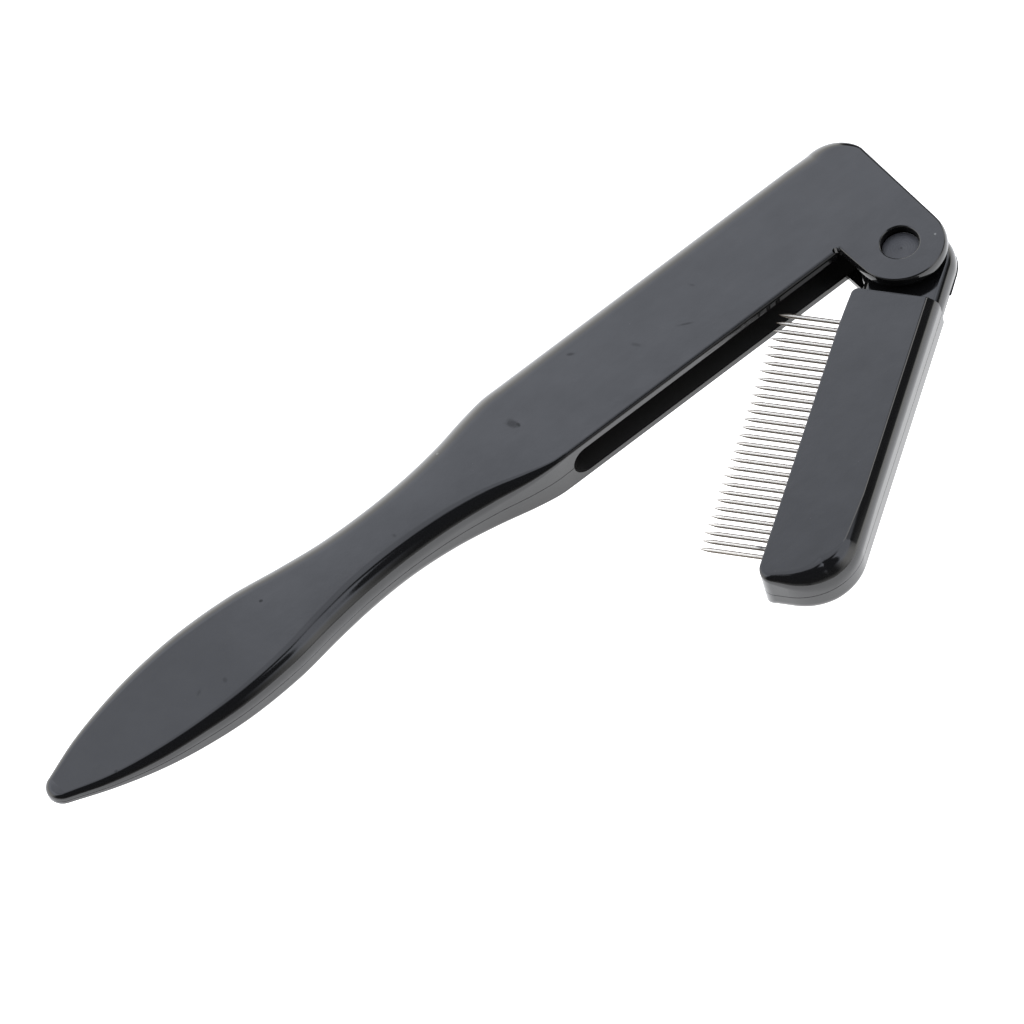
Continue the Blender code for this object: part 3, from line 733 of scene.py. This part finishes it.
def bar_inner_corner():
    """Rim points where the pin side meets the free end. The underside is rounded off
    much more than the top, so its flat outline turns the corner further in."""
    centre = Vector((BAR_END_X + BAR_INNER_CORNER_RADIUS, BAR_PIN_SIDE_Y - BAR_INNER_CORNER_RADIUS))
    foot_centre = Vector((BAR_END_X + BAR_END_FOOT_ROUND, BAR_PIN_SIDE_Y - BAR_PIN_SIDE_ROUND))
    foot_centre += Vector((1, -1)) * BAR_FOOT_CORNER_RADIUS
    outline = arc(centre, BAR_INNER_CORNER_RADIUS, 90, 180, CORNER_STEPS)
    foot_outline = arc(foot_centre, BAR_FOOT_CORNER_RADIUS, 90, 180, CORNER_STEPS)
    found = []
    for index, ((spot, outward), (foot_spot, _)) in enumerate(zip(outline, foot_outline)):
        share = index / CORNER_STEPS
        top_round = BAR_PIN_SIDE_ROUND + (BAR_INNER_CORNER_ROUND - BAR_PIN_SIDE_ROUND) * share
        foot_rise = BAR_PIN_SIDE_ROUND + (BAR_END_FOOT_ROUND - BAR_PIN_SIDE_ROUND) * share
        found.append(rim_point(spot, -outward * top_round, foot_spot - spot, top_round, foot_rise))
    return found


def bar_outer_corner():
    """Rim points from the free end to the outer side. The bevel sets in half way round."""
    centre = Vector((BAR_END_X, BAR_OUTER_Y)) + Vector((1, 1)) * BAR_OUTER_CORNER_RADIUS
    first = (BAR_OUTER_CORNER_ROUND, BAR_OUTER_CORNER_ROUND, BAR_END_FOOT_ROUND)
    middle = (BAR_OUTER_CORNER_INSET, BAR_OUTER_CORNER_RISE, BAR_OUTER_FOOT_ROUND)
    last = (BAR_FADED_INSET, BAR_FADED_RISE, BAR_OUTER_FOOT_ROUND)
    found = rim_arc(centre, BAR_OUTER_CORNER_RADIUS, 180, 225, first, middle)
    found += rim_arc(centre, BAR_OUTER_CORNER_RADIUS, 225, 270, middle, last)[1:]
    for index, point in enumerate(found):
        point["bevel"] = BAR_FADED_BEVEL * max(index / CORNER_STEPS - 1, 0)
    return found


def bar_outer_side():
    """Rim points along the straight outer side, where the bevel is whole."""
    edge = (BAR_OUTER_INSET, BAR_OUTER_RISE, BAR_OUTER_FOOT_ROUND)
    found = []
    for x in (BAR_BEVEL_FADE_X, BAR_HEAD_X):
        found.append(edge_rim_point(Vector((x, BAR_OUTER_Y)), Vector((0, 1)), edge))
        found[-1]["bevel"] = 1
    found[-1]["top_inset"].x = -BAR_HEAD_EDGE_INSET
    return found


def bar_mesh():
    """The bar, with a flat face at its hinge end and a soft corner at its free end. Its
    hinge end and pin side have no bevel."""
    points = bar_head_corner() + bar_inner_corner()
    for point in points:
        point["bevel"] = 0
    return lofted_plate("arm_bar", points + bar_outer_corner() + bar_outer_side())


def tongue_mesh():
    """The thin hub and tongue that turns between the case's two lobes."""
    edge = (TONGUE_EDGE_INSET, TONGUE_EDGE_RISE, TONGUE_FOOT_ROUND)
    thickness = TONGUE_ROOF - TONGUE_FLOOR
    pin_side = Vector((0, 1))
    last = 180 - degrees(asin((TONGUE_PIN_SIDE_Y - HUB_CENTRE.y) / HUB_RADIUS))
    hub = arc(HUB_CENTRE, HUB_RADIUS, -90, last, LOBE_STEPS)
    points = [edge_rim_point(Vector((TONGUE_ROOT_X, TONGUE_ROOT_Y)), pin_side, edge, thickness)]
    points += [edge_rim_point(spot, -outward, edge, thickness) for spot, outward in hub[:-1]]
    bend, outward = hub[-1]
    inward = -(outward + pin_side) / (1 + outward.dot(pin_side))
    points.append(edge_rim_point(bend, inward, edge, thickness))
    pin_side_root = Vector((TONGUE_ROOT_X, TONGUE_PIN_SIDE_Y))
    points.append(edge_rim_point(pin_side_root, -pin_side, edge, thickness))
    return lofted_plate("tongue", points)


def hub_lip_mesh():
    """The thin lip along the foot of the hub's outer side, which ends in a small step."""
    outline = [Vector((HUB_LIP_END_X, HUB_LIP_INNER_Y)), Vector((HUB_LIP_END_X, HUB_LIP_END_Y))]
    lip = arc(HUB_CENTRE, HUB_LIP_RADIUS, -90, HUB_LIP_STOP_ANGLE, LOBE_STEPS)
    outline += [spot for spot, _ in lip]
    return plate_mesh("hub_lip", outline, HUB_LIP_ROOF - HUB_LIP_FLOOR)


def pin_x(index):
    return PIN_FIRST_X - index * PIN_PITCH


def pin_mesh(name, tip_y):
    length = tip_y - BAR_PIN_SIDE_Y + PIN_SEAT_DEPTH
    profile = []
    for step in range(PIN_TAPER_STEPS + 1):
        share = step / PIN_TAPER_STEPS
        profile.append((PIN_RADIUS * sin(pi / 2 * share), length - PIN_TAPER * share))
    profile += [(PIN_RADIUS, 0), (0, 0)]
    return turned_mesh(name, profile, PIN_SIDES)


def socket_mesh():
    """All the pin sockets as one cutter, drawn in the arm's own frame."""
    single = cylinder_mesh(
        "socket", PIN_RADIUS + SOCKET_GAP, -SOCKET_GAP, PIN_SEAT_DEPTH + SOCKET_OVERSHOOT, PIN_SIDES
    )
    bm = bmesh.new()
    for index in range(PIN_COUNT):
        known = len(bm.verts)
        bm.from_mesh(single)
        bm.verts.ensure_lookup_table()
        bmesh.ops.translate(bm, verts=bm.verts[known:], vec=(pin_x(index), 0, 0))
    return mesh_from_bmesh("socket_cutter", bm)


def seat_in_bar(x):
    """The place of a piece drawn along Z that points out of the bar's pin side."""
    spot = Matrix.Translation((x, BAR_PIN_SIDE_Y - PIN_SEAT_DEPTH, MID_PLANE))
    return spot @ Matrix.Rotation(radians(-90), 4, "X")


def build_arm(material):
    arm = new_object("arm_bar", bar_mesh())
    tongue = new_object("tongue", tongue_mesh())
    tongue.location.z = (TONGUE_FLOOR + TONGUE_ROOF) / 2 - MID_PLANE
    bore_radius = PIVOT_RADIUS + HUB_BORE_GAP
    bore = drill("hub_bore_cutter", bore_radius, CUT_BELOW, CUT_ABOVE, PIVOT_SIDES)
    sockets = new_object("socket_cutter", socket_mesh())
    sockets.matrix_world = seat_in_bar(0)
    lip = new_object("hub_lip", hub_lip_mesh())
    lip.location.z = (HUB_LIP_FLOOR + HUB_LIP_ROOF) / 2
    changes = [(sockets, "DIFFERENCE"), (tongue, "UNION"), (lip, "UNION"), (bore, "DIFFERENCE")]
    combine(arm, changes)
    arm.data.transform(REST_TURN)
    finish_piece(arm, "comb", material, SHARP_ANGLE, "comb_arm")


def build_pins(material):
    """The pins, whose tips don't quite keep to one line."""
    uneven = Random(PIN_SEED)
    for index in range(PIN_COUNT):
        name = f"pin_{index + 1:02d}"
        tip_y = PIN_TIP_FIRST_Y + (PIN_TIP_LAST_Y - PIN_TIP_FIRST_Y) * index / (PIN_COUNT - 1)
        tip_y += uneven.uniform(-PIN_TIP_UNEVEN, PIN_TIP_UNEVEN)
        pin = new_object(name, pin_mesh(name, tip_y))
        pin.data.transform(REST_TURN @ seat_in_bar(pin_x(index)))
        finish_piece(pin, "comb", material, SHARP_ANGLE, f"comb_{name}")


# Shader nodes


def new_shader(name):
    material = bpy.data.materials.new(name)
    material.use_nodes = True
    return material, material.node_tree, material.node_tree.nodes["Principled BSDF"]


def feed(tree, value, socket):
    """Links a socket, or sets a plain number, vector or colour."""
    if isinstance(value, bpy.types.NodeSocket):
        tree.links.new(value, socket)
    elif socket.type == "RGBA":
        socket.default_value = (*value, 1)
    else:
        socket.default_value = value


def feed_all(tree, node, values):
    """Feeds a node's inputs by their names."""
    for name, value in values.items():
        feed(tree, value, node.inputs[name])


def math_node(tree, operation, *values):
    node = tree.nodes.new("ShaderNodeMath")
    node.operation = operation
    for value, socket in zip(values, node.inputs):
        feed(tree, value, socket)
    return node.outputs["Value"]


def vector_node(tree, operation, *vectors):
    node = tree.nodes.new("ShaderNodeVectorMath")
    node.operation = operation
    for vector, socket in zip(vectors, node.inputs):
        feed(tree, vector, socket)
    return node.outputs


def scaled(tree, vector, factors):
    return vector_node(tree, "MULTIPLY", vector, factors)["Vector"]


def dot_node(tree, vector, axis):
    return vector_node(tree, "DOT_PRODUCT", vector, axis)["Value"]


def length_node(tree, vector):
    return vector_node(tree, "LENGTH", vector)["Value"]


def millimetres(tree):
    """The place on the part, in millimetres."""
    place = tree.nodes.new("ShaderNodeTexCoord").outputs["Object"]
    return scaled(tree, place, (1 / MM,) * 3)


def pivot_distance(tree, place):
    """How far a place is from the pivot's axis."""
    return length_node(tree, scaled(tree, place, (1, 1, 0)))


def axes_of(tree, place):
    axes = tree.nodes.new("ShaderNodeSeparateXYZ")
    tree.links.new(place, axes.inputs[0])
    return axes.outputs["X"], axes.outputs["Y"], axes.outputs["Z"]


def noise_node(tree, place, pattern):
    """Noise from 0 to 1. The pattern is its cells a millimetre, detail and roughness."""
    scale, detail, roughness = pattern
    node = tree.nodes.new("ShaderNodeTexNoise")
    feed_all(tree, node, {"Vector": place, "Scale": scale, "Detail": detail, "Roughness": roughness})
    return node.outputs["Fac"]


def range_node(tree, value, start, end, low, high, ramp="LINEAR"):
    """A ramp from low at start to high at end."""
    node = tree.nodes.new("ShaderNodeMapRange")
    node.interpolation_type = ramp
    feed_all(tree, node, {"Value": value, "From Min": start, "From Max": end})
    feed_all(tree, node, {"To Min": low, "To Max": high})
    return node.outputs["Result"]


def step_node(tree, value, start, end):
    """Rises smoothly from 0 at start to 1 at end."""
    return range_node(tree, value, start, end, 0, 1, "SMOOTHSTEP")


def band_node(tree, value, span, soft):
    """1 inside the span and 0 outside it, with soft ends."""
    low, high = span
    rise = step_node(tree, value, low - soft / 2, low + soft / 2)
    fall = step_node(tree, value, high + soft / 2, high - soft / 2)
    return math_node(tree, "MULTIPLY", rise, fall)


def box_node(tree, place, spans, soft):
    """1 inside a box and 0 outside it, with soft sides."""
    inside = 1.0
    for axis, span in zip(axes_of(tree, place), spans):
        inside = math_node(tree, "MULTIPLY", inside, band_node(tree, axis, span, soft))
    return inside


def mix_node(tree, share, first, second, kind="FLOAT"):
    """Goes from the first number to the second, or from colour to colour where it is RGBA."""
    node = tree.nodes.new("ShaderNodeMix")
    node.data_type = kind
    inputs, output = MIX_SOCKETS[kind]
    for value, index in zip((share, first, second), inputs):
        feed(tree, value, node.inputs[index])
    return node.outputs[output]


def bump_node(tree, height, depth, normal=None):
    """The surface's direction with a relief, on top of an earlier one where it is given."""
    node = tree.nodes.new("ShaderNodeBump")
    feed_all(tree, node, {"Height": height, "Distance": depth})
    if normal:
        tree.links.new(normal, node.inputs["Normal"])
    return node.outputs["Normal"]


# Materials


def mark_node(tree, place, mark):
    """One small mark's strength: its full value in the middle, 0 at its uneven edge."""
    spot, half_length, half_width, turn, strength = mark
    node = tree.nodes.new("ShaderNodeMapping")
    node.vector_type = "TEXTURE"
    sizes = (half_length, half_width, MARK_HALF_HEIGHT)
    angles = (0, 0, radians(turn))
    feed_all(tree, node, {"Vector": place, "Location": spot, "Rotation": angles, "Scale": sizes})
    distance = length_node(tree, node.outputs["Vector"])
    ragged = noise_node(tree, place, MARK_NOISE)
    distance = math_node(tree, "MULTIPLY_ADD", ragged, MARK_RAGGEDNESS, distance)
    inside = step_node(tree, distance, *MARK_EDGE)
    return math_node(tree, "MULTIPLY", inside, strength)


def marks_node(tree, place, marks):
    """The strongest of several marks, and 0 away from them."""
    total = 0.0
    for mark in marks:
        total = math_node(tree, "MAXIMUM", total, mark_node(tree, place, mark))
    return total


def hollow_node(tree, place):
    """1 on the walls inside the slot, where the moulding is duller."""
    along = (SLOT_END_X / MM - HOLLOW_MARGIN, POCKET_RADIUS / MM)
    deep = (SLOT_SIDE_Y / MM + HOLLOW_MARGIN, SLOT_BOTTOM_Y / MM + HOLLOW_MARGIN)
    high = (POCKET_FLOOR / MM - HOLLOW_MARGIN, POCKET_ROOF / MM + HOLLOW_MARGIN)
    return box_node(tree, place, (along, deep, high), HOLLOW_MARGIN)


def shine_left_node(tree, place):
    """How much shine is left: little on the recess's wall, and on the face above the slot
    less and less towards the head, where it ends in ragged streaks."""
    wall = step_node(tree, pivot_distance(tree, place), *RECESS_WALL)
    wall = math_node(tree, "MULTIPLY", wall, box_node(tree, place, RECESS_BOX, HOLLOW_MARGIN))
    front = box_node(tree, place, FRONT_BOX, HOLLOW_MARGIN)
    fade = range_node(tree, axes_of(tree, place)[0], *FRONT_FADE, 0, 1)
    ragged = noise_node(tree, scaled(tree, place, FRONT_STRETCH), FRONT_NOISE)
    lit = math_node(tree, "MULTIPLY_ADD", ragged, FRONT_RAGGEDNESS, fade)
    lit = step_node(tree, lit, *FRONT_EDGE)
    shaded = math_node(tree, "MULTIPLY", front, math_node(tree, "SUBTRACT", 1.0, lit))
    hidden = math_node(tree, "MAXIMUM", wall, shaded)
    return range_node(tree, hidden, 0, 1, 1, DULL_SHINE)


def gloss_plastic(name, roughness, dark_marks=(), specks=(), hollow=False):
    """Moulded black plastic: cloudy with handling, faintly uneven, with marks and dust. A
    hollow piece is duller inside its slot and recess."""
    material, tree, shader = new_shader(name)
    place = millimetres(tree)
    cloud = noise_node(tree, place, CLOUD_NOISE)
    streaks = noise_node(tree, scaled(tree, place, STREAK_STRETCH), STREAK_NOISE)
    dark = marks_node(tree, place, dark_marks)
    dust = step_node(tree, noise_node(tree, place, DUST_NOISE), *DUST_LEVELS)
    dust = math_node(tree, "MULTIPLY", dust, DUST_STRENGTH)
    bright = math_node(tree, "MAXIMUM", marks_node(tree, place, specks), dust)
    base = mix_node(tree, bright, PLASTIC, DUST, "RGBA")
    smoothest, roughest = (roughness * share for share in ROUGHNESS_SHARES)
    rough = range_node(tree, streaks, *NOISE_SPAN, smoothest, roughest)
    rough = math_node(tree, "MULTIPLY_ADD", dark, MARK_ROUGHNESS, rough)
    shine = range_node(tree, cloud, *NOISE_SPAN, *SHINE)
    shine = math_node(tree, "MULTIPLY_ADD", dark, -MARK_DULLNESS, shine)
    if hollow:
        inside = hollow_node(tree, place)
        base = mix_node(tree, inside, base, HOLLOW_PLASTIC, "RGBA")
        rough = mix_node(tree, inside, rough, HOLLOW_ROUGHNESS)
        shine = math_node(tree, "MULTIPLY", shine, shine_left_node(tree, place))
    normal = bump_node(tree, noise_node(tree, place, RIPPLE_NOISE), RIPPLE_DEPTH)
    normal = bump_node(tree, noise_node(tree, place, GRAIN_NOISE), GRAIN_DEPTH, normal)
    feed_all(tree, shader, {"Base Color": base, "Roughness": rough, "Normal": normal})
    feed_all(tree, shader, {"Specular IOR Level": shine, "IOR": PLASTIC_IOR})
    return material


def pivot_plastic(name):
    """The pivot's matte top, with fine turning rings round the dimple in its middle, darkened with
    painted shade.
    """
    material, tree, shader = new_shader(name)
    place = millimetres(tree)
    distance = pivot_distance(tree, place)
    rings = math_node(tree, "SINE", math_node(tree, "MULTIPLY", distance, RING_RATE))
    cloud = noise_node(tree, place, PIVOT_NOISE)
    grain = noise_node(tree, place, GRAIN_NOISE)
    pale = range_node(tree, cloud, *NOISE_SPAN, 0, 1)
    base = mix_node(tree, pale, PIVOT_DARK, PIVOT_LIGHT, "RGBA")
    # Painted shade: the colour turns black towards the middle of the dimple.
    dimple = step_node(tree, distance, *PIVOT_DIMPLE_SHADE_EDGE)
    base = mix_node(tree, dimple, base, PLASTIC, "RGBA")
    rough = range_node(tree, cloud, *NOISE_SPAN, *PIVOT_ROUGHNESS)
    normal = bump_node(tree, rings, RING_DEPTH)
    normal = bump_node(tree, grain, PIVOT_GRAIN_DEPTH, normal)
    feed_all(tree, shader, {"Base Color": base, "Roughness": rough, "Normal": normal})
    return material


def pin_steel(name):
    """Drawn steel wire: fine lines along it, painted shade underneath and along its outline, and
    one small stain."""
    material, tree, shader = new_shader(name)
    place = millimetres(tree)
    along = tree.nodes.new("ShaderNodeVectorRotate")
    along.rotation_type = "Z_AXIS"
    feed_all(tree, along, {"Vector": place, "Angle": -REST_ANGLE})
    lines = noise_node(tree, scaled(tree, along.outputs["Vector"], WIRE_STRETCH), WIRE_NOISE)
    spots = noise_node(tree, place, WIRE_SPOT_NOISE)
    facing = tree.nodes.new("ShaderNodeLayerWeight").outputs["Facing"]
    upright = dot_node(tree, tree.nodes.new("ShaderNodeNewGeometry").outputs["Normal"], (0, 0, 1))
    # Painted shade: the colour darkens on the wire's underside, where it faces down.
    underside_shade = step_node(tree, upright, *WIRE_UNDERSIDE_SHADE)
    # Painted shade: the colour darkens along the wire's outline, where it faces away from the view.
    rim = math_node(tree, "MULTIPLY", step_node(tree, facing, *WIRE_OUTLINE_SHADE), WIRE_OUTLINE_SHADE_SHARE)
    painted_shade = math_node(tree, "MAXIMUM", underside_shade, rim)
    pale = range_node(tree, spots, *WIRE_SPOT_SPAN, 0, 1)
    base = mix_node(tree, pale, STEEL_WARM, STEEL_LIGHT, "RGBA")
    # Painted shade: the steel's colour turns dark on the underside and along the outline.
    base = mix_node(tree, painted_shade, base, STEEL_PAINTED_SHADE, "RGBA")
    base = mix_node(tree, mark_node(tree, place, WIRE_STAIN), base, STAIN, "RGBA")
    rough = range_node(tree, lines, *NOISE_SPAN, *STEEL_ROUGHNESS)
    normal = bump_node(tree, lines, WIRE_DEPTH)
    feed_all(tree, shader, {"Base Color": base, "Roughness": rough, "Normal": normal})
    shader.inputs["Metallic"].default_value = STEEL_METALLIC
    return material


# Light, floor and camera


def build_floor():
    bm = bmesh.new()
    bmesh.ops.create_grid(bm, x_segments=1, y_segments=1, size=FLOOR_SIZE / 2)
    floor = new_object("floor", mesh_from_bmesh("floor", bm))
    floor.location.z = -FLOOR_DROP
    material, tree, shader = new_shader("floor_white")
    feed_all(tree, shader, {"Base Color": FLOOR_WHITE, "Roughness": FLOOR_ROUGHNESS})
    feed_all(tree, shader, {"Emission Color": WHITE, "Emission Strength": FLOOR_GLOW})
    shader.inputs["Specular IOR Level"].default_value = 0
    floor.data.materials.append(material)


def build_world():
    """A studio of soft panels round the table, dark where none hangs. Each panel spans an
    azimuth, right of the far side, and an elevation, in degrees."""
    world = bpy.data.worlds.new("studio")
    world.use_nodes = True
    bpy.context.scene.world = world
    tree = world.node_tree
    direction = tree.nodes.new("ShaderNodeTexCoord").outputs["Generated"]
    ahead = dot_node(tree, direction, (sin(CAMERA_AZIMUTH), cos(CAMERA_AZIMUTH), 0))
    right = dot_node(tree, direction, (cos(CAMERA_AZIMUTH), -sin(CAMERA_AZIMUTH), 0))
    azimuth = math_node(tree, "DEGREES", math_node(tree, "ARCTAN2", right, ahead))
    height = dot_node(tree, direction, (0, 0, 1))
    elevation = math_node(tree, "DEGREES", math_node(tree, "ARCSINE", height))
    level = DARK_LEVEL
    for across, up, soft_across, soft_up, (side_lean, edge_fall), brightness in PANELS.values():
        sideways = math_node(tree, "MULTIPLY_ADD", elevation, side_lean, azimuth)
        upwards = math_node(tree, "MULTIPLY_ADD", azimuth, edge_fall, elevation)
        sides = band_node(tree, sideways, across, soft_across)
        inside = math_node(tree, "MULTIPLY", sides, band_node(tree, upwards, up, soft_up))
        level = mix_node(tree, inside, level, brightness)
    cool = step_node(tree, elevation, *COOL_FROM)
    colour = mix_node(tree, cool, WARM_LIGHT, COOL_LIGHT, "RGBA")
    feed_all(tree, tree.nodes["Background"], {"Color": colour, "Strength": level})


def build_camera():
    """Aims the camera at a spot on the floor, from the side that faces the slot."""
    data = bpy.data.cameras.new("camera")
    data.sensor_width = SENSOR_WIDTH
    data.lens = LENS
    data.clip_end = CAMERA_REACH
    camera = new_object("camera", data)
    turn = Matrix.Rotation(-CAMERA_AZIMUTH, 4, "Z")
    turn @= Matrix.Rotation(pi / 2 - CAMERA_ELEVATION, 4, "X")
    turn @= Matrix.Rotation(-CAMERA_ROLL, 4, "Z")
    away = turn @ Vector((0, 0, CAMERA_DISTANCE))
    camera.matrix_world = Matrix.Translation(CAMERA_AIM + away) @ turn
    bpy.context.scene.camera = camera


def build():
    bpy.context.scene.view_settings.view_transform = "Standard"
    build_camera()
    build_floor()
    build_world()
    handle_looks = (HANDLE_ROUGHNESS, HANDLE_MARKS, HANDLE_SPECKS)
    build_handle(gloss_plastic("handle_plastic", *handle_looks, hollow=True))
    build_pivot_pin(pivot_plastic("pivot_plastic"))
    build_arm(gloss_plastic("arm_plastic", ARM_ROUGHNESS))
    build_pins(pin_steel("pin_steel"))


build()
